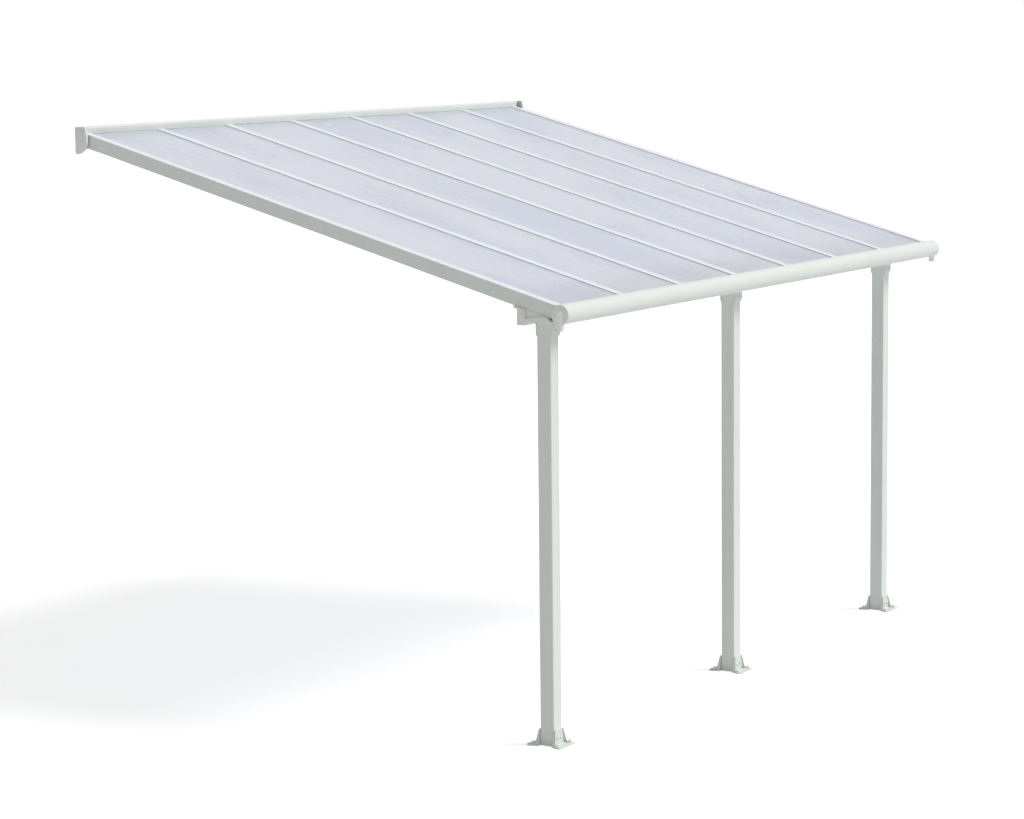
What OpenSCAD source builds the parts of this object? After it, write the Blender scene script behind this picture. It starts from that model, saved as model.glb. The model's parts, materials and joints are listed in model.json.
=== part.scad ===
// Attached patio cover: an aluminium frame on three posts, with a roof of twin-wall sheets.
// Millimetres, +Z up. The origin is on the wall, at the centre of the wall header's back face.
// The cover reaches out along -Y, and +X runs to the right along the wall.

/* [Overall] */
// Length of the roof along the wall, over the outer faces of the side rafters
roof_length = 4250; // [3200:10:5200]
// Level distance from the wall to the front edge of the roof sheets
roof_reach = 2870; // [2000:10:3600]
// Slope of the roof, in degrees
roof_pitch = 15.2; // [8:0.1:20]
// Height of the wall header's centre above the ground
header_height = 2869; // [2600:1:3200]

/* [Roof sheets and rafters] */
// Thickness of a twin-wall roof sheet
sheet_t = 8; // [6:1:10]
// Thickness of each skin of a sheet
skin_t = 0.8; // [0.5:0.1:1.2]
// Distance between the webs of a sheet
flute_pitch = 11; // [10:0.5:30]
// Thickness of a web of a sheet
web_t = 0.8; // [0.5:0.1:1.2]
// Depth of a rafter, square to the slope, from the top of its cover strip
rafter_h = 68; // [50:1:90]
// Width of the box of a middle rafter
rafter_w = 30; // [20:1:40]
// Wall of the rafter extrusions
rafter_wall = 2; // [1.5:0.1:3]
// Width of a cover strip
strip_w = 54; // [44:1:64]
// Thickness of a cover strip's top
strip_t = 2.5; // [1.5:0.1:3]
// How far a cover strip stands above the sheets
strip_rise = 5; // [4:0.5:8]
// Distance from the outer face of a side rafter to the middle of its cover strip
side_inset = 32; // [29:1:40]

/* [Wall header] */
// Height of the wall header
header_h = 140; // [130:1:180]
// Depth of the wall header, out from the wall
header_d = 68; // [60:1:90]
// Length of an end cap of the wall header
header_cap_len = 28; // [15:1:35]
// Wall of the header and gutter extrusions
shell_t = 2.5; // [2:0.1:3.5]
// Height of the roof line at the wall, above the centre of the header
roof_line_rise = 46.5; // [44:0.5:50]
// Diameter of the wall fixing holes
wall_hole_d = 9; // [6:0.5:12]
// Height of the wall fixing holes above the centre of the header
wall_hole_z = 12; // [8:1:16]

/* [Front gutter] */
// Outer radius of the round gutter
gutter_r = 48.5; // [42:0.5:55]
// Length of an end cap of the gutter
gutter_cap_len = 16; // [12:1:30]
// Radius of the outer edge of a gutter end cap
cap_edge_r = 4; // [2:0.5:6]
// Depth of the box behind the gutter, which carries the rafters
beam_d = 43; // [35:1:55]
// Wall of the end caps and the spouts
cap_wall = 3; // [2:0.5:4]
// Outer diameter of a water spout
spout_d = 38; // [30:1:40]
// How far the middle of a spout lies behind the face of the gutter's end cap
spout_inset = 4; // [0:0.5:8]
// Height of the middle of a spout's dome above the middle of the gutter
spout_rise = 4; // [0:0.5:10]
// How far a spout's mouth lies below the middle of the gutter
spout_drop = 78; // [74:1:120]
// Depth of the socket in a spout's mouth, up to the shoulder that stops the pipe in it
socket_len = 22; // [15:1:24]

/* [Posts] */
// Side of a square post
post_w = 76; // [60:1:90]
// Wall of a post
post_wall = 2.5; // [2:0.1:4]
// Outer corner radius of a post
post_corner_r = 5; // [3:0.5:8]
// Distance from the left end of the roof to the middle of the left post
left_post_inset = 70; // [60:1:200]
// Distance from the right end of the roof to the middle of the right post
right_post_inset = 448; // [60:1:700]
// Distance from the roof's front edge back to the middle of the posts
post_setback = 90; // [85:1:110]
// Thickness of a post head over the top of its post
head_t = 5; // [4:0.5:8]
// How far the front cheek of a post head stands out from the post
front_cheek = 12; // [8:0.5:16]
// How far the rear cheek of a post head stands out from the post
rear_cheek = 7; // [4:0.5:12]
// Height of the cheeks of a post head
cheek_h = 60; // [45:1:80]

/* [Foot brackets] */
// Length of a foot bracket along the wall
foot_len = 154; // [140:1:200]
// Depth of a foot bracket, out from the post
foot_depth = 60; // [52:1:80]
// Height of a foot bracket
foot_h = 80; // [60:1:110]
// Thickness of the base and the upright plate of a foot bracket
foot_t = 6; // [4:0.5:10]
// How much wider than the post the upright plate is at the ground, on each side
foot_flare = 23; // [10:1:30]
// Diameter of the anchor holes in the feet
anchor_hole_d = 10; // [8:0.5:14]
// Distance from the end of a foot bracket to the middle of its anchor hole
anchor_inset = 19; // [16:1:24]
// Distance from the post's face out to the middle of an anchor hole
anchor_reach = 32; // [28:1:40]

/* [Hidden] */
$fn = 48;
round_fn = 96;
cut = 1; // how far a cut runs past the face it opens

white = "#e9ebe8";
pale_grey = "#d6dad6";
sheet_tint = "#dfe1ee";

bays = 7;
half_length = roof_length / 2;
bay_w = (roof_length - 2 * side_inset) / bays;
ground_z = -header_height;
roof_front_z = roof_line_rise - roof_reach * tan(roof_pitch);
slope_len = roof_reach / cos(roof_pitch);

// Places square to the slope, measured down from the tops of the cover strips
sheet_top = -strip_rise;
seat = sheet_top - sheet_t;

// Height of the roof line and of the rafters' undersides at a level distance from the wall
function roof_line(u) = roof_line_rise - u * tan(roof_pitch);
function rafter_under(u) = roof_line(u) - rafter_h / cos(roof_pitch);

// Middle of the cover strip number i, from 0 at the left rafter to bays at the right rafter
function strip_x(i) = -half_length + side_inset + i * bay_w;

// The middle post stands midway between the outer two, numbered 0, 1 and 2 from the left
post_spacing = (roof_length - left_post_inset - right_post_inset) / 2;
function post_x(i) = -half_length + left_post_inset + i * post_spacing;
post_y = -roof_reach + post_setback;

// Points along an arc, and the outline of a thin wall that follows a line of points
function arc(c, r, a0, a1, n) = [for (i = [0:n]) let (a = a0 + (a1 - a0) * i / n) c + r * [cos(a), sin(a)]];
function unit(v) = v / norm(v);
function left_of(v) = [-v[1], v[0]];
function side_of(p, i) = left_of(unit(p[i + 1] - p[i]));
function mitre(p, i) =
    i == 0 ? side_of(p, 0) :
    i == len(p) - 1 ? side_of(p, i - 1) :
    let (m = unit(side_of(p, i - 1) + side_of(p, i))) m / (m * side_of(p, i));
function thin_wall(p, t) = concat(
    [for (i = [0:len(p) - 1]) p[i] + mitre(p, i) * t / 2],
    [for (i = [len(p) - 1:-1:0]) p[i] - mitre(p, i) * t / 2]);
function reversed(p) = [for (i = [len(p) - 1:-1:0]) p[i]];

// A section in the plane of Y and Z, drawn out along the wall
module along_wall(x0, length) {
    translate([x0, 0, 0]) rotate([90, 0, 90]) linear_extrude(length) children();
}

// A section square to the slope, drawn out from s0 to s1 along the slope
module along_slope(s0, s1) {
    translate([0, 0, roof_line_rise]) rotate([roof_pitch, 0, 0])
        translate([0, -s0, 0]) rotate([90, 0, 0]) linear_extrude(s1 - s0) children();
}

// An outline in the plane of X and Z, drawn out towards the garden from y0
module outwards(y0, depth) {
    translate([0, y0, 0]) rotate([90, 0, 0]) linear_extrude(depth) children();
}

module box_section(x0, x1, z0, z1, t) {
    difference() {
        translate([x0, z0]) square([x1 - x0, z1 - z0]);
        translate([x0 + t, z0 + t]) square([x1 - x0 - 2 * t, z1 - z0 - 2 * t]);
    }
}

module mirrored() {
    mirror([1, 0, 0]) children();
}

// Wall header: a hood over the upper ends of the sheets, a cove below, and a sloping shelf for the rafters
nose_r = 20;
top_fall = 4;
header_batter = 2;
cove_r = header_h / 2 - 10;
cove_c = [-(header_d - header_batter - cove_r), -header_h / 2 + cove_r];
nose_c = [-(header_d - nose_r), header_h / 2 - top_fall - nose_r];
header_top = header_h / 2;
shelf_end_u = header_d - 9;
lip_return = 16;
lip_gap = 2;

// Outline of the header, set in from its outer face by i
function header_outline(i) = concat(
    [[-i, -header_h / 2 + i], [-i, header_top - i]],
    arc(nose_c, nose_r - i, 90, 180, 8),
    arc(cove_c, cove_r - i, 180, 270, 12));

// Middle of the hood's wall where it passes over the roof line
function lip_point(u) = [-u, roof_line(u) + lip_gap + shell_t];

module wall_header_section() {
    i = shell_t / 2;
    hood = concat(
        [[-i, header_top - i]],
        arc(nose_c, nose_r - i, 90, 180, 8),
        [lip_point(header_d - i), lip_point(header_d - lip_return)]);
    shelf_drop = i / cos(roof_pitch);
    cove_angle = 180 + asin((cove_c[1] - rafter_under(shelf_end_u) + shelf_drop) / (cove_r - i));
    shelf_front = cove_c + (cove_r - i) * [cos(cove_angle), sin(cove_angle)];
    shelf_back = [-i, rafter_under(-shelf_front[0]) - shelf_drop + (-shelf_front[0] - i) * tan(roof_pitch)];
    polygon(thin_wall([[-i, -header_h / 2], [-i, header_top]], shell_t));
    polygon(thin_wall(hood, shell_t));
    polygon(thin_wall(concat(arc(cove_c, cove_r - i, cove_angle, 270, 10), [[-i, -header_h / 2 + i]]), shell_t));
    polygon(thin_wall([shelf_front, shelf_back], shell_t));
}

module wall_header() {
    color(white) difference() {
        along_wall(-half_length, roof_length) wall_header_section();
        for (i = [0:bays])
            translate([strip_x(i), cut, wall_hole_z]) rotate([90, 0, 0])
                cylinder(d = wall_hole_d, h = shell_t + 2 * cut);
    }
}

module header_cap() {
    color(pale_grey) difference() {
        along_wall(half_length, header_cap_len) polygon(header_outline(0));
        along_wall(half_length - cut, header_cap_len - cap_wall + cut) polygon(header_outline(cap_wall));
    }
}

// Roof. Each rafter has a flat seat for the sheets and a spine with a slot, into which its cover strip clips.
upper_end = 28;
rafter_end = slope_len - 11;
spine_w = 9;
spine_wall = 2;
spine_gap = 1.5;
barb_gap = 0.5;
barb_len = 3;
lip_w = 2;

module rafter_section(x0, x1, centre) {
    box_section(x0, x1, -rafter_h, seat, rafter_wall);
    translate([centre - strip_w / 2, seat - rafter_wall]) square([strip_w, rafter_wall]);
    for (x = [centre - spine_w / 2, centre + spine_w / 2 - spine_wall])
        translate([x, seat - rafter_wall]) square([spine_wall, rafter_wall - strip_t - seat]);
}

module rafter(i) {
    color(white) along_slope(upper_end, rafter_end)
        rafter_section(strip_x(i) - rafter_w / 2, strip_x(i) + rafter_w / 2, strip_x(i));
}

module side_rafter() {
    color(white) along_slope(upper_end, rafter_end) {
        rafter_section(strip_x(bays) - rafter_w / 2, half_length, strip_x(bays));
        translate([half_length - rafter_wall, seat - rafter_wall]) square([rafter_wall, rafter_wall - seat]);
    }
}

module cover_strip(i) {
    barb_w = spine_w - 2 * (spine_wall + barb_gap);
    color(white) along_slope(upper_end, slope_len) translate([strip_x(i), 0]) {
        translate([-strip_w / 2, -strip_t]) square([strip_w, strip_t]);
        for (x = [-strip_w / 2, strip_w / 2 - lip_w])
            translate([x, sheet_top]) square([lip_w, strip_rise]);
        translate([-barb_w / 2, sheet_top - barb_len]) square([barb_w, barb_len + strip_rise - strip_t / 2]);
    }
}

module roof_sheet(i) {
    edge = spine_w / 2 + spine_gap;
    sheet_w = bay_w - 2 * edge;
    flutes = floor((sheet_w - web_t) / flute_pitch);
    margin = (sheet_w - flutes * flute_pitch - web_t) / 2;
    color(sheet_tint, 0.6) along_slope(upper_end, slope_len)
        translate([strip_x(i) + edge, seat]) difference() {
            square([sheet_w, sheet_t]);
            for (f = [0:flutes - 1])
                translate([margin + web_t + f * flute_pitch, skin_t])
                    square([flute_pitch - web_t, sheet_t - 2 * skin_t]);
        }
}

// Front gutter. Its section is drawn from the roof's front edge: back to the wall, and up from the roof line.
// It is a round trough, an arm that reaches back over the post heads, and a box beam under the rafters.
joint_gap = 1;
mouth_angle = 55;
mouth_rear = 38;
mouth_front = 64;
mouth_reach = 20;
gutter_c = (gutter_r + joint_gap) * [-cos(mouth_angle), -sin(mouth_angle)];
arm_over = -69;
arm_under = -85;
arm_start = [0, -20];
rise_front = 36;
crest_front = 56;
crest = 66;
crest_fall = 4;
fall_back = 137;
beam_front = 166;
beam_back = beam_front + beam_d;
beam_bottom = -100;
beam_bevel = 4;
flange_front = beam_front - 6;
flange_back = beam_back + 20;

function under_at(f) = rafter_under(roof_reach - f) - roof_front_z;
function on_gutter(a, inset) = gutter_c + (gutter_r - inset) * [cos(a), sin(a)];

// Upper and lower lines of the arm and the beam, set in from the outer face by i
function arm_top(i) = [
    [arm_start[0], arm_over], [rise_front, arm_over],
    [crest_front, under_at(crest) - crest_fall - i], [crest, under_at(crest) - i],
    [beam_front + i, arm_over]];
function beam_under(i) = [
    [arm_start[1], arm_under + i], [fall_back, arm_under + i],
    [beam_front - beam_bevel, beam_bottom + i], [beam_back - i, beam_bottom + i],
    [beam_back - i, under_at(beam_back) - i / cos(roof_pitch)]];

module gutter_frame() {
    translate([-roof_reach, roof_front_z]) children();
}

// The arm, the beam and its flange
module beam_section() {
    i = shell_t / 2;
    flange_drop = i / cos(roof_pitch);
    front_web = [[beam_front + i, beam_bottom + i], [beam_front + i, under_at(beam_front) - flange_drop]];
    flange = [for (f = [flange_front, flange_back]) [f, under_at(f) - flange_drop]];
    polygon(thin_wall(arm_top(i), shell_t));
    polygon(thin_wall(beam_under(i), shell_t));
    polygon(thin_wall(front_web, shell_t));
    polygon(thin_wall(flange, shell_t));
}

module front_gutter() {
    color(white) difference() {
        union() {
            along_wall(-half_length, roof_length) gutter_frame() translate(gutter_c) circle(gutter_r, $fn = round_fn);
            along_wall(-half_length, roof_length) gutter_frame() beam_section();
        }
        along_wall(-half_length - cut, roof_length + 2 * cut) gutter_frame()
            translate(gutter_c) circle(gutter_r - shell_t, $fn = round_fn);
        along_wall(-half_length - cut, roof_length + 2 * cut) gutter_frame()
            polygon(concat([gutter_c], [for (a = [mouth_rear, mouth_angle, mouth_front]) on_gutter(a, -mouth_reach)]));
    }
}

// A round cup with a rounded outer edge, its mouth at the end of the roof
module cup(r, length, edge_r) {
    translate([half_length, -roof_reach + gutter_c[0], roof_front_z + gutter_c[1]]) rotate([0, 90, 0])
        rotate_extrude($fn = round_fn) {
            square([r - edge_r, length]);
            square([r, length - edge_r]);
            translate([r - edge_r, length - edge_r]) intersection() {
                circle(edge_r);
                square(edge_r);
            }
        }
}

// End cap of the gutter: a round cup over the gutter, and a thin tail over the arm and the beam
outlet_d = 18;
outlet_fall = 12;

module gutter_cap() {
    color(pale_grey) difference() {
        union() {
            cup(gutter_r, gutter_cap_len, cap_edge_r);
            along_wall(half_length, cap_wall) gutter_frame()
                polygon(concat(arm_top(0), [[beam_front, under_at(beam_front)]], reversed(beam_under(0))));
        }
        along_wall(half_length - cut, gutter_cap_len - cap_wall + cut) gutter_frame()
            translate(gutter_c) circle(gutter_r - cap_wall, $fn = round_fn);
        along_wall(half_length, gutter_cap_len + cut) gutter_frame()
            translate(gutter_c - [0, outlet_fall]) circle(d = outlet_d);
    }
}

// Spout: a round tube with a domed top, fitted to the face and the underside of the gutter's end cap.
// Its mouth is a socket for a pipe, which stops at a small shoulder.
shoulder = 1;

module gutter_spout() {
    socket_d = spout_d - 2 * cap_wall;
    bore_d = socket_d - 2 * shoulder;
    spout_x = half_length + gutter_cap_len - spout_inset;
    color(pale_grey) translate([spout_x, -roof_reach + gutter_c[0], roof_front_z + gutter_c[1]]) difference() {
        union() {
            translate([0, 0, -spout_drop]) cylinder(d = spout_d, h = spout_drop + spout_rise);
            translate([0, 0, spout_rise]) sphere(d = spout_d);
        }
        translate([0, 0, -spout_drop - cut]) cylinder(d = bore_d, h = spout_drop + spout_rise + cut);
        translate([0, 0, -spout_drop - cut]) cylinder(d = socket_d, h = socket_len + cut);
        translate([0, 0, spout_rise]) sphere(d = bore_d);
        translate([spout_inset - spout_d, 0, 0]) rotate([0, 90, 0])
            cylinder(r = gutter_r, h = spout_d, $fn = round_fn);
    }
}

// Posts
post_top = roof_front_z + arm_under - head_t;

module rounded_square(w, r) {
    square([w - 2 * r, w], center = true);
    square([w, w - 2 * r], center = true);
    for (x = [-1, 1], y = [-1, 1])
        translate([x, y] * (w / 2 - r)) circle(r);
}

module post(i) {
    color(white) translate([post_x(i), post_y, ground_z]) linear_extrude(post_top - ground_z) difference() {
        rounded_square(post_w, post_corner_r);
        rounded_square(post_w - 2 * post_wall, post_corner_r - post_wall);
    }
}

// Post head: a saddle between the arm and the post, with a bulged cheek in front and a tapered one behind
cheek_tip = 3;
cheek_shoulder = 8;
cheek_bulge = 26;
cheek_belly = 10;
cheek_corner_r = 14;

module post_head(i) {
    f0 = post_setback - post_w / 2;
    f1 = post_setback + post_w / 2;
    front_line = [
        [f0 - cheek_tip, -cheek_h], [f0 - front_cheek, -cheek_bulge - cheek_belly],
        [f0 - front_cheek, -cheek_bulge], [f0 - cheek_shoulder, 0]];
    rear_line = [[f1 + rear_cheek, 0], [f1 + cheek_tip, -cheek_h]];
    slot = [[f1, -cheek_h], [f1, -head_t], [f0, -head_t], [f0, -cheek_h]];
    color(white) intersection() {
        along_wall(post_x(i) - post_w / 2, post_w) gutter_frame()
            translate([0, arm_under]) polygon(concat(front_line, rear_line, slot));
        outwards(post_y + post_w, 2 * post_w) translate([post_x(i), roof_front_z + arm_under]) union() {
            translate([-post_w / 2, cheek_corner_r - cheek_h]) square([post_w, cheek_h]);
            translate([cheek_corner_r - post_w / 2, -cheek_h]) square([post_w - 2 * cheek_corner_r, cheek_h]);
            for (x = [-1, 1])
                translate([x * (post_w / 2 - cheek_corner_r), cheek_corner_r - cheek_h]) circle(cheek_corner_r);
        }
    }
}

// Foot bracket: a base with two anchor bosses, an upright plate that widens downwards, and a rib on each side of it
foot_neck = 16;
foot_corner = 6;
rib_w = 5;
rib_top = 9;
rib_foot = 19;
boss_d = 24;
boss_foot_d = 32;
boss_h = 12;

module foot_upright_outline(inset) {
    polygon([
        [inset - post_w / 2 - foot_flare, 0], [post_w / 2 + foot_flare - inset, 0],
        [post_w / 2 - inset, foot_h], [inset - post_w / 2, foot_h]]);
}

module foot_base_outline() {
    half = foot_len / 2;
    right = [
        [half - foot_neck, 0], [half, -foot_depth + foot_neck + foot_corner],
        [half - foot_corner / 2, -foot_depth + foot_corner], [half - foot_neck, -foot_depth]];
    polygon(concat(right, [for (p = reversed(right)) [-p[0], p[1]]]));
}

module foot() {
    color(white) translate([0, -post_w / 2, 0]) difference() {
        union() {
            linear_extrude(foot_t) foot_base_outline();
            outwards(0, foot_t) foot_upright_outline(0);
            intersection() {
                outwards(0, rib_foot) difference() {
                    foot_upright_outline(0);
                    foot_upright_outline(rib_w);
                }
                along_wall(-foot_len / 2, foot_len)
                    polygon([[0, 0], [0, foot_h], [-rib_top, foot_h], [-rib_foot, foot_t]]);
            }
            for (side = [-1, 1])
                translate([side * (foot_len / 2 - anchor_inset), -anchor_reach, 0])
                    cylinder(d1 = boss_foot_d, d2 = boss_d, h = boss_h);
        }
        for (side = [-1, 1])
            translate([side * (foot_len / 2 - anchor_inset), -anchor_reach, -cut])
                cylinder(d = anchor_hole_d, h = boss_h + 2 * cut);
    }
}

module foot_front(i) {
    translate([post_x(i), post_y, ground_z]) foot();
}

module foot_back(i) {
    translate([post_x(i), post_y, ground_z]) mirror([0, 1, 0]) foot();
}

wall_header();
mirrored() header_cap();  // header_cap_left
header_cap();  // header_cap_right
mirrored() side_rafter();  // side_rafter_left
side_rafter();  // side_rafter_right
rafter(1);  // rafter_1
rafter(2);  // rafter_2
rafter(3);  // rafter_3
rafter(4);  // rafter_4
rafter(5);  // rafter_5
rafter(6);  // rafter_6
cover_strip(0);  // cover_strip_left
cover_strip(bays);  // cover_strip_right
cover_strip(1);  // cover_strip_1
cover_strip(2);  // cover_strip_2
cover_strip(3);  // cover_strip_3
cover_strip(4);  // cover_strip_4
cover_strip(5);  // cover_strip_5
cover_strip(6);  // cover_strip_6
roof_sheet(0);  // roof_sheet_1
roof_sheet(1);  // roof_sheet_2
roof_sheet(2);  // roof_sheet_3
roof_sheet(3);  // roof_sheet_4
roof_sheet(4);  // roof_sheet_5
roof_sheet(5);  // roof_sheet_6
roof_sheet(6);  // roof_sheet_7
front_gutter();
mirrored() gutter_cap();  // gutter_cap_left
gutter_cap();  // gutter_cap_right
mirrored() gutter_spout();  // gutter_spout_left
gutter_spout();  // gutter_spout_right
post(0);  // post_left
post(1);  // post_middle
post(2);  // post_right
post_head(0);  // post_head_left
post_head(1);  // post_head_middle
post_head(2);  // post_head_right
foot_front(0);  // foot_front_left
foot_front(1);  // foot_front_middle
foot_front(2);  // foot_front_right
foot_back(0);  // foot_back_left
foot_back(1);  // foot_back_middle
foot_back(2);  // foot_back_right
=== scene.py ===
"""Looks of the attached patio cover: finishes, fixings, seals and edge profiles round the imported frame.

Metres, in the frame of the CAD part: the origin is on the wall, +X runs along it and the cover reaches
out along -Y. A piece takes its place from the nodes that it sits on and from the sizes below.
"""
import json
import math

import bpy
from mathutils import Matrix, Vector


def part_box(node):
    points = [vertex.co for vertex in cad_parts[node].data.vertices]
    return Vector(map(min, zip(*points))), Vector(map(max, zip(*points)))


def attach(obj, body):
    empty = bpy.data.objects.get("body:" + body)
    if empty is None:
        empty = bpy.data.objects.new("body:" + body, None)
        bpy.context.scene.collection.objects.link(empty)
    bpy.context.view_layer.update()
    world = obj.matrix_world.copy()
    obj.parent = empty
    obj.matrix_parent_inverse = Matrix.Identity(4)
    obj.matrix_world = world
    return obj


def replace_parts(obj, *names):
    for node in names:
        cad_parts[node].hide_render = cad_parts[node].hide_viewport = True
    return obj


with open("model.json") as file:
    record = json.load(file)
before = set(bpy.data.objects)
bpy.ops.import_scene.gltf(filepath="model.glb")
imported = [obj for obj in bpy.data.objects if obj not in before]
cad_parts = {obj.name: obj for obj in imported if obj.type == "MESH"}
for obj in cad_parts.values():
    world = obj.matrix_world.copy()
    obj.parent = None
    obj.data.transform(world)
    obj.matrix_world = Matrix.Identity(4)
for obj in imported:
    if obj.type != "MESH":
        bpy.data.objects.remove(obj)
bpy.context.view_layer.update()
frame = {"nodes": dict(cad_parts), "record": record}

MM = 0.001
nodes = frame["nodes"]
slot_of = {s["node"]: s["material_slot"] for s in frame["record"]["subparts"]}
sides = (("left", -1), ("right", 1))

# Sizes that the source of the part also holds
PITCH = math.radians(15.2)
ROOF_LINE_Z = 46.5 * MM
REACH = 2870 * MM
HALF_LENGTH = 2125 * MM
FRONT_Z = ROOF_LINE_Z - REACH * math.tan(PITCH)
STRIP_W = 54 * MM
SHEET_TOP = -5 * MM
SHEET_T = 8 * MM
RAFTER_H = 68 * MM
SHELL_T = 2.5 * MM
FLUTE = 11 * MM
POST_W = 76 * MM
FOOT_T = 6 * MM
BOSS_H = 12 * MM
ANCHOR_X = 58 * MM
ANCHOR_OUT = 32 * MM

strips = {n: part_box(n) for n in nodes if n.startswith("cover_strip")}
strip_x = sorted((low.x + high.x) / 2 for low, high in strips.values())
BAY = strip_x[1] - strip_x[0]

posts = {}
for name in ("left", "middle", "right"):
    low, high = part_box(f"post_{name}")
    posts[name] = ((low.x + high.x) / 2, (low.y + high.y) / 2)
ground_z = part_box("post_left")[0].z


# Shader maths

class Wire:
    """One output of a node, so that an expression on wires adds its Math nodes."""

    def __init__(self, bench, socket):
        self.bench = bench
        self.socket = socket

    def maths(self, operation, *values):
        return self.bench.add("ShaderNodeMath", {"operation": operation}, dict(enumerate(values)))

    def __add__(self, other):
        return self.maths("ADD", self, other)

    def __radd__(self, other):
        return self.maths("ADD", other, self)

    def __sub__(self, other):
        return self.maths("SUBTRACT", self, other)

    def __rsub__(self, other):
        return self.maths("SUBTRACT", other, self)

    def __mul__(self, other):
        return self.maths("MULTIPLY", self, other)

    def __rmul__(self, other):
        return self.maths("MULTIPLY", other, self)

    def __truediv__(self, other):
        return self.maths("DIVIDE", self, other)

    def __rtruediv__(self, other):
        return self.maths("DIVIDE", other, self)

    def fraction(self):
        return self.maths("FRACT", self)

    def size(self):
        return self.maths("ABSOLUTE", self)

    def least(self, other):
        return self.maths("MINIMUM", self, other)


class NodeBench:
    """The nodes of a material or of the world, under construction."""

    def __init__(self, tree, output_kind):
        self.tree = tree
        self.tree.nodes.clear()
        self.output = self.tree.nodes.new(output_kind)

    def add(self, kind, settings=None, sockets=None, output=0):
        """Adds a node, sets its settings and then its sockets, and gives one of its outputs."""
        node = self.tree.nodes.new(kind)
        for key, value in (settings or {}).items():
            setattr(node, key, value)
        for key, value in (sockets or {}).items():
            if isinstance(value, Wire):
                self.tree.links.new(value.socket, node.inputs[key])
            else:
                node.inputs[key].default_value = value
        return Wire(self, node.outputs[output])

    def seen_plainly(self):
        """1 for the camera, a gloss or a clear body, and 0 for the light that falls on things."""
        camera = self.add("ShaderNodeLightPath", output="Is Camera Ray")
        gloss = self.add("ShaderNodeLightPath", output="Is Glossy Ray")
        clear = self.add("ShaderNodeLightPath", output="Is Transmission Ray")
        return (camera + gloss + clear).least(1.0)

    def close(self, surface):
        self.tree.links.new(surface.socket, self.output.inputs["Surface"])


class Finish(NodeBench):
    """A material under construction."""

    def __init__(self, name):
        self.material = bpy.data.materials.new(name)
        self.material.use_nodes = True
        super().__init__(self.material.node_tree, "ShaderNodeOutputMaterial")

    def place(self):
        return self.add("ShaderNodeTexCoord", output="Object")

    def noise(self, where, scale, detail=2.0, roughness=0.5):
        return self.add("ShaderNodeTexNoise", {"noise_dimensions": "3D"},
                        {"Vector": where, "Scale": scale, "Detail": detail, "Roughness": roughness}, "Fac")

    def stretched(self, where, scale):
        return self.add("ShaderNodeMapping", {"vector_type": "POINT"}, {"Vector": where, "Scale": scale})

    def smooth(self, value, low, high, to_low=0.0, to_high=1.0):
        return self.add("ShaderNodeMapRange", {"interpolation_type": "SMOOTHSTEP"},
                        {"Value": value, "From Min": low, "From Max": high, "To Min": to_low, "To Max": to_high})

    def blend(self, share, first, second):
        return self.add("ShaderNodeMix", {"data_type": "RGBA"},
                        {0: share, 6: self.colour(first), 7: self.colour(second)}, 2)

    def bump(self, height, strength, distance):
        return self.add("ShaderNodeBump", None, {"Height": height, "Strength": strength, "Distance": distance})

    def surface(self, sockets):
        return self.add("ShaderNodeBsdfPrincipled", None, sockets)

    def done(self, surface):
        self.close(surface)
        return self.material

    @staticmethod
    def colour(value):
        return value if isinstance(value, Wire) else (*value, 1.0)


# Finishes

def powder_coat(name, colour, peel_scale, peel_depth, roughness):
    """Satin powder coat: a fine orange-peel skin, with slow drifts of tone and gloss from weather and handling."""
    f = Finish(name)
    here = f.place()
    drift = f.noise(here, 2.3, 3.0)
    clouds = f.noise(f.stretched(here, (1.0, 1.0, 0.35)), 9.0, 4.0, 0.6)
    streaks = f.noise(f.stretched(here, (60.0, 60.0, 1.6)), 1.0, 3.0, 0.55)
    dust = f.smooth(0.55 * clouds + 0.45 * streaks, 0.42, 0.72)
    tone = f.blend(0.5 * dust + 0.22 * drift, colour, (0.94 * colour[0], 0.935 * colour[1], 0.92 * colour[2]))
    peel = f.noise(here, peel_scale, 2.0)
    pores = f.noise(here, peel_scale * 3.7, 1.0)
    return f.done(f.surface({
        "Base Color": tone, "Roughness": roughness + 0.14 * dust + 0.06 * peel,
        "Normal": f.bump(peel + 0.3 * pores, 0.35, peel_depth)}))


def moulded_plastic(name, colour):
    """Moulded plastic with a fine spark-eroded grain, a little yellowed where the weather reaches it."""
    f = Finish(name)
    here = f.place()
    grain = f.noise(here, 1500.0, 3.0, 0.65)
    flow = f.noise(here, 14.0, 3.0)
    weather = f.smooth(f.noise(here, 30.0, 4.0), 0.4, 0.75)
    tone = f.blend(0.45 * weather + 0.2 * flow, colour, (0.94 * colour[0], 0.935 * colour[1], 0.89 * colour[2]))
    return f.done(f.surface({
        "Base Color": tone, "Roughness": 0.4 + 0.16 * weather + 0.08 * grain,
        "Normal": f.bump(grain, 0.3, 0.00006)}))


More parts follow.
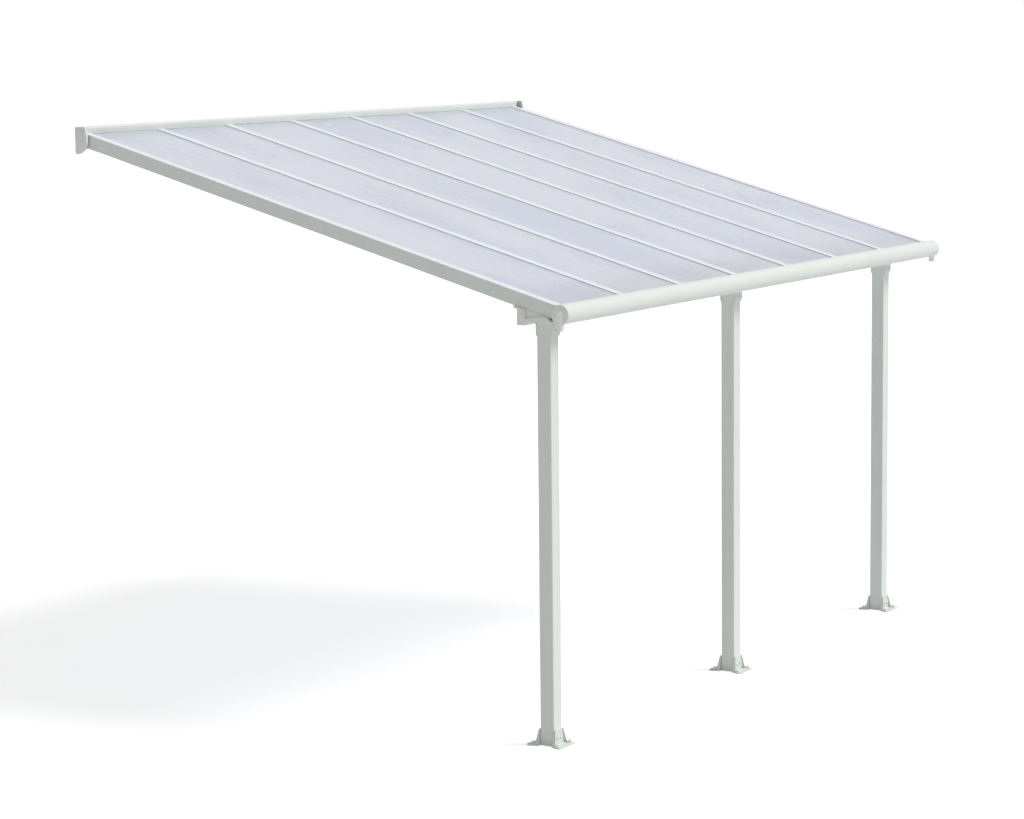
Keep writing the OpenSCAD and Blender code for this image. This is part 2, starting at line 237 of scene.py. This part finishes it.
def twin_wall_sheet(name, colour, through_colour, first_web):
    """Opal twin-wall sheet: a fine line over each web, a glossy face with rain runs and with soft patches of painted
    light, and light that comes through.
    """
    f = Finish(name)
    here = f.place()
    across = f.add("ShaderNodeSeparateXYZ", None, {0: here}, "X")
    in_bay = ((across - strip_x[0]) / BAY).fraction() * BAY
    off_web = (((in_bay - first_web) / FLUTE + 0.5).fraction() - 0.5).size()
    web = f.smooth(off_web, 0.03, 0.13, 1.0, 0.0)
    # Painted light: soft brighter and darker patches across the sheet, standing in for uneven light on and through
    # it.
    clouds = f.smooth(f.noise(f.stretched(here, (1.0, 0.7, 0.7)), 1.9, 2.0, 0.4), 0.38, 0.66)
    runs = f.noise(f.stretched(here, (38.0, 0.8, 0.8)), 1.0, 3.0, 0.6)
    # Rain runs, which are dirt, mixed with a little of the painted light patches.
    grime_and_light_patches = f.smooth(0.35 * clouds + 0.65 * runs, 0.45, 0.75)
    share = (0.34 * web + 0.2 * grime_and_light_patches + 0.5 * clouds).least(1.0)
    tone = f.blend(share, colour, (0.9 * colour[0], 0.905 * colour[1], 0.955 * colour[2]))
    ripple = f.noise(f.stretched(here, (1.0, 0.15, 0.15)), 120.0, 2.0)
    skin = f.bump(0.5 * web + 0.3 * ripple, 0.22, 0.00025)
    glossy = f.surface({"Base Color": tone, "Roughness": 0.2 + 0.16 * grime_and_light_patches + 0.05 * ripple, "Normal": skin})
    through = f.add("ShaderNodeBsdfTranslucent", None, {"Color": (*through_colour, 1.0), "Normal": skin})
    return f.done(f.add("ShaderNodeMixShader", None, {0: 0.52 - 0.1 * web, 1: glossy, 2: through}))


def soft_seal(name, colour):
    """Seal rubber: dull, with a faint bloom and fine pits."""
    f = Finish(name)
    here = f.place()
    bloom = f.smooth(f.noise(here, 45.0, 4.0), 0.35, 0.7)
    pits = f.noise(here, 900.0, 2.0)
    tone = f.blend(0.6 * bloom, colour, tuple(min(1.0, 1.12 * c) for c in colour))
    return f.done(f.surface({
        "Base Color": tone, "Roughness": 0.66 + 0.15 * bloom, "Normal": f.bump(pits, 0.4, 0.0001)}))


def zinc_steel(name, colour):
    """Zinc-plated steel of the fixings: fine turning marks, spangle and a little dulling."""
    f = Finish(name)
    here = f.place()
    spangle = f.noise(here, 420.0, 3.0, 0.7)
    dull = f.smooth(f.noise(here, 150.0, 4.0), 0.4, 0.75)
    tone = f.blend(0.55 * dull + 0.25 * spangle, colour, tuple(0.72 * c for c in colour))
    return f.done(f.surface({
        "Base Color": tone, "Roughness": 0.3 + 0.25 * dull + 0.1 * spangle, "Metallic": 0.85 - 0.25 * dull,
        "Normal": f.bump(spangle, 0.3, 0.00005)}))


finishes = {
    "white_frame": powder_coat("white_powder_coat", (0.785, 0.825, 0.785), 700.0, 0.00012, 0.34),
    # The cast coat is a little darker than the frame's coat: partly the cast finish's own tone, partly painted shade
    # for the shade under the gutter round the post heads.
    "cast_white": powder_coat("white_cast_coat_with_painted_shade", (0.765, 0.805, 0.765), 420.0, 0.0003, 0.42),
    "cap_plastic": moulded_plastic("cap_plastic", (0.83, 0.855, 0.82)),
    "roof_sheet": twin_wall_sheet("twin_wall_sheet", (0.825, 0.84, 0.885), (0.945, 0.955, 0.975), 7.5 * MM),
}
# Painted light: a lighter, bluer copy of the frame's powder coat on the cover strips, standing in for the sun and sky
# on their tops.
strip_coat_painted_light = powder_coat("strip_powder_coat_painted_light", (0.845, 0.87, 0.925), 700.0, 0.00012, 0.34)
# Painted light: a paler copy of the caps' plastic on the spouts, standing in for the light on their fronts.
spout_plastic_painted_light = moulded_plastic("spout_plastic_painted_light", (0.93, 0.945, 0.93))
strip_rubber = soft_seal("strip_rubber", (0.86, 0.88, 0.91))
header_rubber = soft_seal("header_rubber", (0.74, 0.76, 0.75))
fixing_zinc = zinc_steel("fixing_zinc", (0.70, 0.71, 0.70))


def finish_of(node):
    """The finish of a CAD node: the strips get a lighter, bluer copy of the frame's coat and the spouts a paler copy
    of the caps' plastic, both painted light.
    """
    if node in strips:
        return strip_coat_painted_light
    if node.startswith("gutter_spout"):
        return spout_plastic_painted_light
    return finishes[slot_of[node]]


for node, piece in nodes.items():
    piece.data.materials.clear()
    piece.data.materials.append(finish_of(node))


# Hand tools

SHARP_ANGLE = math.radians(30)
SMOOTH_ANGLE = math.radians(35)
DRILL_REACH = 10 * MM


def clear_selection():
    """Leaves edit mode and selects nothing."""
    if bpy.context.object and bpy.context.object.mode != "OBJECT":
        bpy.ops.object.mode_set(mode="OBJECT")
    bpy.ops.object.select_all(action="DESELECT")


def hold(piece):
    """Selects one piece and makes it the active one."""
    clear_selection()
    piece.select_set(True)
    bpy.context.view_layer.objects.active = piece


def settle(piece):
    """Puts a piece's place into its mesh."""
    hold(piece)
    bpy.ops.object.transform_apply(location=True, rotation=True, scale=True)


def open_edges(piece, pick):
    """Opens a piece for editing with the edges selected that pick chooses by their two ends."""
    hold(piece)
    bpy.ops.object.mode_set(mode="EDIT")
    bpy.ops.mesh.select_mode(type="EDGE")
    bpy.ops.mesh.select_all(action="DESELECT")
    bpy.ops.object.mode_set(mode="OBJECT")
    mesh = piece.data
    for e in mesh.edges:
        e.select = pick(*(mesh.vertices[v].co for v in e.vertices))
    bpy.ops.object.mode_set(mode="EDIT")


def open_faces(piece, pick):
    """Opens a piece for editing with the faces selected that pick chooses by their middle and normal."""
    hold(piece)
    bpy.ops.object.mode_set(mode="EDIT")
    bpy.ops.mesh.select_mode(type="FACE")
    bpy.ops.mesh.select_all(action="DESELECT")
    bpy.ops.object.mode_set(mode="OBJECT")
    for p in piece.data.polygons:
        p.select = pick(p.center, p.normal)
    bpy.ops.object.mode_set(mode="EDIT")


def shut():
    """Ends the editing of a piece."""
    bpy.ops.object.mode_set(mode="OBJECT")


def outline_body(name, outline, x0, x1):
    """A body along the wall, from an outline of (y, z) points that is drawn point by point and pulled out."""
    clear_selection()
    bpy.ops.mesh.primitive_plane_add(size=1 * MM, location=(0, 0, 0))
    piece = bpy.context.object
    piece.name = name
    bpy.ops.object.mode_set(mode="EDIT")
    bpy.ops.mesh.select_mode(type="VERT")
    bpy.ops.mesh.select_all(action="SELECT")
    bpy.ops.mesh.merge(type="CENTER")
    points = [Vector((x0, y, z)) for y, z in outline]
    bpy.ops.transform.translate(value=points[0])
    for before, after in zip(points, points[1:]):
        bpy.ops.mesh.extrude_vertices_move(TRANSFORM_OT_translate={"value": after - before})
    bpy.ops.mesh.select_all(action="SELECT")
    bpy.ops.mesh.edge_face_add()
    bpy.ops.mesh.extrude_region_move(TRANSFORM_OT_translate={"value": (x1 - x0, 0, 0)})
    bpy.ops.mesh.select_all(action="SELECT")
    bpy.ops.mesh.normals_make_consistent(inside=False)
    shut()
    return piece


def hollow_from(piece, way, wall, depth):
    """Hollows a body out from its end on the side that way points to, and leaves a wall all round."""
    open_faces(piece, lambda middle, normal: normal.x * way > 0.99)
    bpy.ops.mesh.inset(thickness=wall, use_even_offset=True)
    bpy.ops.mesh.extrude_region_move(TRANSFORM_OT_translate={"value": (-way * depth, 0, 0)})
    bpy.ops.mesh.select_all(action="SELECT")
    bpy.ops.mesh.normals_make_consistent(inside=False)
    shut()


def soften(piece, width, segments=2):
    """Rounds the sharp edges of a piece a little."""
    hold(piece)
    edge = piece.modifiers.new("edge", "BEVEL")
    edge.width = width
    edge.segments = segments
    edge.limit_method = "ANGLE"
    edge.angle_limit = SHARP_ANGLE
    bpy.ops.object.modifier_apply(modifier=edge.name)


def bar(name, size, round_edge):
    """A bar at the origin with all of its edges rounded."""
    clear_selection()
    bpy.ops.mesh.primitive_cube_add(size=1, location=(0, 0, 0))
    piece = bpy.context.object
    piece.name = name
    piece.scale = size
    settle(piece)
    open_edges(piece, lambda one, other: True)
    bpy.ops.mesh.bevel(offset=round_edge, segments=2, profile=0.5, affect="EDGES")
    shut()
    return piece


def turned(name, steps, sides_round):
    """A form turned about Z: a disc that is pulled out and scaled step by step, each step given as (rise, radius)."""
    clear_selection()
    level, radius = steps[0]
    bpy.ops.mesh.primitive_circle_add(vertices=sides_round, radius=radius, fill_type="NGON", location=(0, 0, level))
    piece = bpy.context.object
    piece.name = name
    settle(piece)
    bpy.ops.object.mode_set(mode="EDIT")
    bpy.ops.mesh.select_all(action="SELECT")
    for rise, new_radius in steps[1:]:
        bpy.ops.mesh.extrude_region_move(TRANSFORM_OT_translate={"value": (0, 0, rise - level)})
        share = new_radius / radius
        bpy.ops.transform.resize(value=(share, share, 1), center_override=(0, 0, rise))
        level, radius = rise, new_radius
    bpy.ops.mesh.select_all(action="SELECT")
    bpy.ops.mesh.normals_make_consistent(inside=False)
    shut()
    return piece


def drilled(piece, places, radius):
    """Cuts round holes through a piece, along the +Z of each place."""
    drill = turned("drill", [(-DRILL_REACH, radius), (DRILL_REACH, radius)], 32)
    drills = copies(drill, places, "drills")
    hold(piece)
    cut = piece.modifiers.new("holes", "BOOLEAN")
    cut.operation = "DIFFERENCE"
    cut.object = drills
    bpy.ops.object.modifier_apply(modifier=cut.name)
    bpy.data.objects.remove(drills)


def joined(pieces, name):
    """Joins pieces into one with a name of its own."""
    hold(pieces[0])
    for p in pieces:
        p.select_set(True)
    if len(pieces) > 1:
        bpy.ops.object.join()
    piece = bpy.context.object
    piece.name = name
    piece.data.name = name
    return piece


def copies(model, places, name):
    """Copies of one model, each with its own mesh, put in place by a matrix and joined."""
    made = []
    for place in places:
        one = model.copy()
        one.data = model.data.copy()
        bpy.context.scene.collection.objects.link(one)
        one.data.transform(place)
        made.append(one)
    bpy.data.objects.remove(model)
    return joined(made, name)


def finish_piece(piece, material):
    """Smooths a piece's shading, gives it its finish and makes it ride on the part."""
    hold(piece)
    bpy.ops.object.shade_smooth_by_angle(angle=SMOOTH_ANGLE)
    piece.data.materials.clear()
    piece.data.materials.append(material)
    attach(piece, "root")
    return piece


def facing(place, direction):
    """The matrix that stands a model's +Z along a direction at a place."""
    return Matrix.Translation(place) @ Vector(direction).to_track_quat("Z", "Y").to_matrix().to_4x4()


def on_slope(x, distance, above):
    """A place on the roof: across, down the slope from the wall, and square above the tops of the strips."""
    return Vector((x, -distance * math.cos(PITCH) - above * math.sin(PITCH),
                   ROOF_LINE_Z - distance * math.sin(PITCH) + above * math.cos(PITCH)))


def along_roof(x, distance, above):
    """The matrix that lays a model's Y along the slope at a place on the roof."""
    return Matrix.Translation(on_slope(x, distance, above)) @ Matrix.Rotation(PITCH, 4, "X")


def arc(middle, radius, start, end, steps):
    """Points along an arc, from one angle in degrees to another."""
    angles = [math.radians(start + (end - start) * k / steps) for k in range(steps + 1)]
    return [(middle[0] + radius * math.cos(a), middle[1] + radius * math.sin(a)) for a in angles]


def thin_wall(line, thickness):
    """The outline of a wall of one thickness along a line of points."""
    points = [Vector(p) for p in line]
    across = [(b - a).normalized().orthogonal() for a, b in zip(points, points[1:])]
    mitres = [across[0]]
    for before, after in zip(across, across[1:]):
        half = (before + after).normalized()
        mitres.append(half / half.dot(after))
    mitres.append(across[-1])
    one = [p + m * thickness / 2 for p, m in zip(points, mitres)]
    other = [p - m * thickness / 2 for p, m in zip(points, mitres)]
    return [tuple(p) for p in one + other[::-1]]


# Wall header: a back plate, a low hood over the sheets and a shelf under the rafters, with a deeper D-shaped cap
# at each end. It runs a little past the roof.

HEADER_HALF = HALF_LENGTH + 13 * MM
HEADER_END = HALF_LENGTH + 28 * MM
HEADER_TOP = 70 * MM
PLATE_FOOT = -40 * MM
HOOD_OUT = 34 * MM
HOOD_NOSE = 9 * MM
LIP_GAP = 2 * MM
LIP_RETURN = 6 * MM
WALL_HOLE_Z = 12 * MM
WALL_HOLE_R = 4.5 * MM
SHELF_OUT = 58 * MM
CAP_OUT = 74 * MM
CAP_DROP = 70 * MM
CAP_FALL = 11 * MM
CAP_WALL = 3 * MM


def roof_line(out):
    """The height of the roof line at a level distance from the wall."""
    return ROOF_LINE_Z - out * math.tan(PITCH)


def wall_header():
    """The header's three walls, with a hole behind each rafter for a wall screw."""
    i = SHELL_T / 2
    lip_z = roof_line(HOOD_OUT) + LIP_GAP + i
    plate_line = [(-i, PLATE_FOOT), (-i, HEADER_TOP)]
    hood_line = [(-i, HEADER_TOP - i)]
    hood_line += arc((HOOD_NOSE - HOOD_OUT, HEADER_TOP - HOOD_NOSE), HOOD_NOSE - i, 90, 180, 8)
    hood_line += [(i - HOOD_OUT, lip_z), (i - HOOD_OUT + LIP_RETURN, lip_z + LIP_RETURN * math.tan(PITCH))]
    shelf_line = [(-u, roof_line(u) - (RAFTER_H + i) / math.cos(PITCH)) for u in (i, SHELF_OUT)]
    plate, hood, shelf = (outline_body("wall", thin_wall(line, SHELL_T), -HEADER_HALF, HEADER_HALF)
                          for line in (plate_line, hood_line, shelf_line))
    drilled(plate, [facing((x, -i, WALL_HOLE_Z), (0, 1, 0)) for x in strip_x], WALL_HOLE_R)
    piece = joined([plate, hood, shelf], "header_extrusion")
    soften(piece, 0.5 * MM)
    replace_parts(finish_piece(piece, finishes["white_frame"]), "wall_header")


def header_caps():
    """The header's end caps: bowed outwards down to the middle of the header, and a quarter circle below."""
    bow = (HEADER_TOP ** 2 + CAP_FALL ** 2) / (2 * CAP_FALL)
    outline = [(0, -CAP_DROP), (0, HEADER_TOP)]
    outline += arc((bow - CAP_OUT, 0), bow, 180 - math.degrees(math.asin(HEADER_TOP / bow)), 180, 8)
    outline += arc((CAP_DROP - CAP_OUT, 0), CAP_DROP, 180, 270, 20)[1:]
    for side, way in sides:
        cap = outline_body(f"header_end_{side}", outline, way * HEADER_END, way * HEADER_HALF)
        hollow_from(cap, -way, CAP_WALL, HEADER_END - HEADER_HALF - CAP_WALL)
        soften(cap, 1.2 * MM, 3)
        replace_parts(finish_piece(cap, finishes["cap_plastic"]), f"header_cap_{side}")


wall_header()
header_caps()


# Gutter end caps: a round cup, a tail whose arched front leaves a groove beside the cup, and a thin set-back web
# that shuts the gap between the tail and the rafter

GUTTER_R = 48.5 * MM
MOUTH_TO_MIDDLE = 49.5
MOUTH_ANGLE = math.radians(55)
CUP_LENGTH = 16 * MM
CUP_EDGE = 4 * MM
TAIL_LENGTH = CUP_LENGTH - 0.6 * MM
WEB_LENGTH = 3 * MM

# Places in the gutter's section, in millimetres back from the roof's front edge or up from its top line
TAIL_FRONT = -20
ARM_UNDER = -85
ARM_TOP = -74
ARM_TOP_AT_BEAM = -68.4
ARCH_MIDDLE = (70, -114)
ARCH_R = 60.36
ARCH_START, ARCH_END = 138.5, 81
SLANT_TOP, SLANT_FOOT = 137, 162
BEAM_FRONT, BEAM_BACK = 166, 209
BEAM_UNDER = -100
FLANGE_BACK = 229
FLANGE_T = 9
WEB_FRONT, WEB_BACK = 64, 166.4
WEB_GAP = 0.4
WEB_UNDER = ((WEB_BACK, -70), (80, -56.5), (WEB_FRONT, -56.5))


def from_front(back, up):
    """A place in the gutter's section, from the roof's front edge and its top line there."""
    return (-REACH + back * MM, FRONT_Z + up * MM)


def rafter_line(back):
    """The height of the rafters' undersides in the gutter's section."""
    return back * math.tan(PITCH) - RAFTER_H / MM / math.cos(PITCH)


def tail_outline():
    """The tail's outline: over the arm and its arched nose, round the beam and its flange, and back underneath."""
    outline = [from_front(TAIL_FRONT, ARM_UNDER), from_front(TAIL_FRONT, ARM_TOP)]
    outline += arc(from_front(*ARCH_MIDDLE), ARCH_R * MM, ARCH_START, ARCH_END, 14)
    return outline + [from_front(*p) for p in (
        (BEAM_FRONT, ARM_TOP_AT_BEAM), (BEAM_FRONT, rafter_line(BEAM_FRONT)),
        (FLANGE_BACK, rafter_line(FLANGE_BACK)), (FLANGE_BACK, rafter_line(FLANGE_BACK) - FLANGE_T),
        (BEAM_BACK, rafter_line(BEAM_BACK) - FLANGE_T), (BEAM_BACK, BEAM_UNDER),
        (SLANT_FOOT, BEAM_UNDER), (SLANT_TOP, ARM_UNDER))]


def web_outline():
    """The web's outline: close under the rafter, and down behind the arm and the beam."""
    top = [(back, rafter_line(back) - WEB_GAP) for back in (WEB_FRONT, WEB_BACK)]
    return [from_front(*p) for p in (*top, *WEB_UNDER)]


def gutter_caps():
    """The gutter's two end caps, each joined from its cup, tail and web."""
    middle = from_front(-MOUTH_TO_MIDDLE * math.cos(MOUTH_ANGLE), -MOUTH_TO_MIDDLE * math.sin(MOUTH_ANGLE))
    inner = GUTTER_R - CAP_WALL
    rounding = arc((CUP_LENGTH - CUP_EDGE, GUTTER_R - CUP_EDGE), CUP_EDGE, 90, 0, 5)
    for side, way in sides:
        end = way * HALF_LENGTH
        cup = turned("cup", [(CUP_LENGTH - CAP_WALL, inner), (0, inner), (0, GUTTER_R)] + rounding, 96)
        cup.data.transform(facing((end, *middle), (way, 0, 0)))
        tail = outline_body("tail", tail_outline(), end + way * TAIL_LENGTH, end)
        hollow_from(tail, -way, CAP_WALL, TAIL_LENGTH - CAP_WALL)
        soften(tail, 0.9 * MM, 3)
        web = outline_body("web", web_outline(), end + way * WEB_LENGTH, end)
        cap = joined([cup, tail, web], f"gutter_end_{side}")
        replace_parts(finish_piece(cap, finishes["cap_plastic"]), f"gutter_cap_{side}")


gutter_caps()


# Post heads: a saddle under the gutter's arm, with a bulged cheek in front and a tapered one behind

# Millimetres, as in the gutter's section
CHEEK_DROP = 71
SADDLE_T = 5
CORNER = 14

# The cheeks' outlines: how far they stand out from the post, and how far below the saddle's top
FRONT_CHEEK = ((5, CHEEK_DROP), (10.4, 52), (11, 44), (11, 36), (9.8, 22), (7, 0))
REAR_CHEEK = ((7, 0), (5, CHEEK_DROP))
FRONT_CHEEK_OUT = max(out for out, drop in FRONT_CHEEK)


def post_head(name):
    """A post's head, drawn from the side and rounded at the lower corners of its cheeks."""
    x, y = posts[name]
    front = (y + REACH - POST_W / 2) / MM
    back = (y + REACH + POST_W / 2) / MM
    foot = ARM_UNDER - CHEEK_DROP
    outline = [(front - out, ARM_UNDER - drop) for out, drop in FRONT_CHEEK]
    outline += [(back + out, ARM_UNDER - drop) for out, drop in REAR_CHEEK]
    outline += [(back, foot), (back, ARM_UNDER - SADDLE_T), (front, ARM_UNDER - SADDLE_T), (front, foot)]
    outline = [from_front(*p) for p in outline]
    head = outline_body(f"head_{name}", outline, x - POST_W / 2, x + POST_W / 2)
    foot_z = FRONT_Z + foot * MM
    open_edges(head, lambda a, b: max(a.z, b.z) < foot_z + 0.1 * MM and abs(a.x - b.x) < 0.1 * MM)
    bpy.ops.mesh.bevel(offset=CORNER * MM, segments=6, profile=0.5, affect="EDGES")
    shut()
    soften(head, 1.2 * MM, 3)
    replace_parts(finish_piece(head, finishes["cast_white"]), f"post_head_{name}")


for name in posts:
    post_head(name)


# Fixings

def hex_screw(name):
    """A hexagon head on a flange and a rubber-backed washer, standing on the plane z = 0."""
    washer = turned("washer", [(0, 7.0 * MM), (0.9 * MM, 7.0 * MM), (1.2 * MM, 6.4 * MM)], 24)
    flange = turned("flange", [(1.2 * MM, 5.3 * MM), (1.7 * MM, 5.3 * MM), (2.3 * MM, 4.5 * MM)], 24)
    head = turned("head", [(2.0 * MM, 4.1 * MM), (4.9 * MM, 4.1 * MM), (5.5 * MM, 3.4 * MM), (5.2 * MM, 2.6 * MM)], 6)
    return joined([washer, flange, head], name)


def anchor_nut(name):
    """The end of a ground anchor: a washer, a hexagon nut and the end of its stud."""
    washer = turned("washer", [(0, 8.4 * MM), (1.3 * MM, 8.4 * MM), (1.6 * MM, 8.0 * MM)], 28)
    nut = turned("nut", [(1.6 * MM, 6.6 * MM), (2.2 * MM, 7.3 * MM), (7.4 * MM, 7.3 * MM), (8.0 * MM, 6.6 * MM)], 6)
    stud = turned("stud", [(7.0 * MM, 4.0 * MM), (11.4 * MM, 4.0 * MM), (12.2 * MM, 3.2 * MM)], 20)
    return joined([washer, nut, stud], name)


FOOT_SCREW_X = 17 * MM
FOOT_SCREW_Z = 39 * MM
HEAD_SCREW_DROP = 41 * MM
REAR_SCREW_OUT = 5.8 * MM
REAR_SCREW_TILT = 0.028
SHELF_SCREW_OUT = 44 * MM
FLANGE_SCREW_OUT = REACH - (BEAM_BACK + FLANGE_BACK) / 2 * MM


def post_fixings(name):
    """The screws of a post's two feet and its head, and the four ground anchors round it."""
    x, y = posts[name]
    screws = [facing((x + dx, y + way * (POST_W / 2 + FOOT_T), ground_z + FOOT_SCREW_Z), (0, way, 0))
              for way in (-1, 1) for dx in (-FOOT_SCREW_X, FOOT_SCREW_X)]
    finish_piece(copies(hex_screw("screw"), screws, f"foot_screws_{name}"), fixing_zinc)
    nuts = [Matrix.Translation((x + dx, y + way * (POST_W / 2 + ANCHOR_OUT), ground_z + BOSS_H))
            for way in (-1, 1) for dx in (-ANCHOR_X, ANCHOR_X)]
    finish_piece(copies(anchor_nut("anchor"), nuts, f"foot_anchors_{name}"), fixing_zinc)
    screw_z = FRONT_Z + ARM_UNDER * MM - HEAD_SCREW_DROP
    heads = [facing((x, y - POST_W / 2 - FRONT_CHEEK_OUT * MM, screw_z), (0, -1, 0)),
             facing((x, y + POST_W / 2 + REAR_SCREW_OUT, screw_z), (0, 1, REAR_SCREW_TILT))]
    finish_piece(copies(hex_screw("screw"), heads, f"head_screws_{name}"), fixing_zinc)


def rafter_screws():
    """Screws up into each rafter, through the header's shelf and through the flange of the gutter's beam."""
    down = (0, math.sin(PITCH), -math.cos(PITCH))
    under = -RAFTER_H - SHELL_T
    for name, out in (("header", SHELF_SCREW_OUT), ("gutter", FLANGE_SCREW_OUT)):
        distance = (out - under * math.sin(PITCH)) / math.cos(PITCH)
        places = [facing(on_slope(x, distance, under), down) for x in strip_x]
        finish_piece(copies(hex_screw("screw"), places, f"rafter_screws_{name}"), fixing_zinc)


for name in posts:
    post_fixings(name)
rafter_screws()


# Seals and edge profiles

LIP_W = 1.6 * MM
LIP_H = 1.4 * MM
LIP_OUT = 0.5 * MM
HOOD_SEAL_TOP = 2.1 * MM
HOOD_SEAL_W = 5 * MM


def strip_seals():
    """Rubber lips along both sides of each cover strip."""
    start = HOOD_OUT / math.cos(PITCH)
    end = REACH / math.cos(PITCH) - 2 * MM
    lip = bar("lip", (LIP_W, end - start, LIP_H), 0.5 * MM)
    places = [along_roof(x + way * (STRIP_W / 2 + LIP_OUT), (start + end) / 2, SHEET_TOP + LIP_H / 2)
              for x in strip_x for way in (-1, 1)]
    finish_piece(copies(lip, places, "strip_seals"), strip_rubber)


def header_seal():
    """A soft lip under the hood, deep over the sheets and shallow over the cover strips."""
    distance = (HOOD_OUT - 1.6 * MM) / math.cos(PITCH)
    middle = (HOOD_SEAL_TOP + SHEET_TOP) / 2
    over_sheet = bar("over_sheet", (BAY - STRIP_W, HOOD_SEAL_W, HOOD_SEAL_TOP - SHEET_TOP), 1.2 * MM)
    over_strip = bar("over_strip", (STRIP_W, HOOD_SEAL_W, HOOD_SEAL_TOP), 0.8 * MM)
    deep = copies(over_sheet, [along_roof(x + BAY / 2, distance, middle) for x in strip_x[:-1]], "deep")
    low = copies(over_strip, [along_roof(x, distance, HOOD_SEAL_TOP / 2) for x in strip_x], "low")
    finish_piece(joined([deep, low], "header_seal"), header_rubber)


def sheet_edges():
    """A thin U-shaped profile over the front edge of each sheet, between the cover strips."""
    wall = 0.8 * MM
    depth = 8 * MM
    face = (SHEET_T + wall) / 2
    line = [(depth, face), (0, face), (0, -face), (depth, -face)]
    free = BAY - STRIP_W - 2 * MM
    profile = outline_body("profile", thin_wall(line, wall), -free / 2, free / 2)
    soften(profile, 0.25 * MM)
    middle = SHEET_TOP - SHEET_T / 2
    places = [along_roof(x + BAY / 2, REACH / math.cos(PITCH) + 0.4 * MM, middle) for x in strip_x[:-1]]
    finish_piece(copies(profile, places, "sheet_edges"), finishes["white_frame"])


strip_seals()
header_seal()
sheet_edges()


# Camera, floor and light

def look(name, place, yaw, down, roll, focal):
    """A camera by its turn from +Y towards +X, its tilt down and its roll, all in radians."""
    ahead = Vector((math.sin(yaw) * math.cos(down), math.cos(yaw) * math.cos(down), -math.sin(down)))
    right = Vector((math.cos(yaw), -math.sin(yaw), 0))
    up = right.cross(ahead)
    r = math.cos(roll) * right + math.sin(roll) * up
    u = -math.sin(roll) * right + math.cos(roll) * up
    data = bpy.data.cameras.new(name)
    data.sensor_width = 36
    data.lens = focal
    data.clip_start, data.clip_end = 0.1, 200
    camera = bpy.data.objects.new(name, data)
    camera.matrix_world = Matrix((
        (r.x, u.x, -ahead.x, place[0]), (r.y, u.y, -ahead.y, place[1]), (r.z, u.z, -ahead.z, place[2]),
        (0, 0, 0, 1)))
    bpy.context.scene.collection.objects.link(camera)
    bpy.context.scene.camera = camera


def paper(name, colour, lift):
    """A matt white floor. What the camera sees is lifted a little, and the shadow stays."""
    f = Finish(name)
    here = f.place()
    tone = f.blend(f.noise(here, 0.6, 3.0), colour, tuple(0.985 * c for c in colour))
    fibres = f.noise(here, 300.0, 2.0)
    matt = f.surface({"Base Color": tone, "Roughness": 0.88 + 0.04 * fibres, "Specular IOR Level": 0.1,
                      "Normal": f.bump(fibres, 0.1, 0.0002)})
    glow = f.add("ShaderNodeEmission", None, {"Color": (1, 1, 1, 1), "Strength": lift})
    dark = f.add("ShaderNodeEmission", None, {"Color": (0, 0, 0, 1), "Strength": 0.0})
    added = f.add("ShaderNodeMixShader", None, {0: f.seen_plainly(), 1: dark, 2: glow})
    return f.done(f.add("ShaderNodeAddShader", None, {0: matt, 1: added}))


def studio_floor():
    """The floor that the cover stands on, as far as the camera sees."""
    clear_selection()
    bpy.ops.mesh.primitive_plane_add(size=90, location=(0, 0, ground_z))
    floor = bpy.context.object
    floor.name = "floor"
    settle(floor)
    floor.data.materials.append(paper("studio_floor", (0.80, 0.80, 0.80), 0.56))


def sky(strength):
    """An even white room, pure white where the camera or a gloss sees it."""
    world = bpy.data.worlds.new("studio")
    world.use_nodes = True
    bpy.context.scene.world = world
    w = NodeBench(world.node_tree, "ShaderNodeOutputWorld")
    lit = w.add("ShaderNodeBackground", None, {"Color": (0.985, 0.99, 1.0, 1), "Strength": strength})
    plain = w.add("ShaderNodeBackground", None, {"Color": (1, 1, 1, 1), "Strength": 1.0})
    w.close(w.add("ShaderNodeMixShader", None, {0: w.seen_plainly(), 1: lit, 2: plain}))


def sun(name, direction, strength, spread):
    """A lamp as wide in the sky as spread says, in degrees, so that its shadows are soft."""
    data = bpy.data.lights.new(name, "SUN")
    data.energy = strength
    data.angle = math.radians(spread)
    lamp = bpy.data.objects.new(name, data)
    lamp.rotation_mode = "QUATERNION"
    lamp.rotation_quaternion = Vector(direction).to_track_quat("-Z", "Y")
    bpy.context.scene.collection.objects.link(lamp)


# Where a camera fitted to the straight lines of the photo stands
look("photo_camera", place=(-14.0223, -10.0196, 0.6486), yaw=1.0144, down=0.1340, roll=-0.0105, focal=104.346)
studio_floor()
sky(0.38)
sun("key_sun", direction=(-0.45, 0.75, -1.0), strength=2.05, spread=25)

bpy.context.scene.view_settings.view_transform = "Standard"
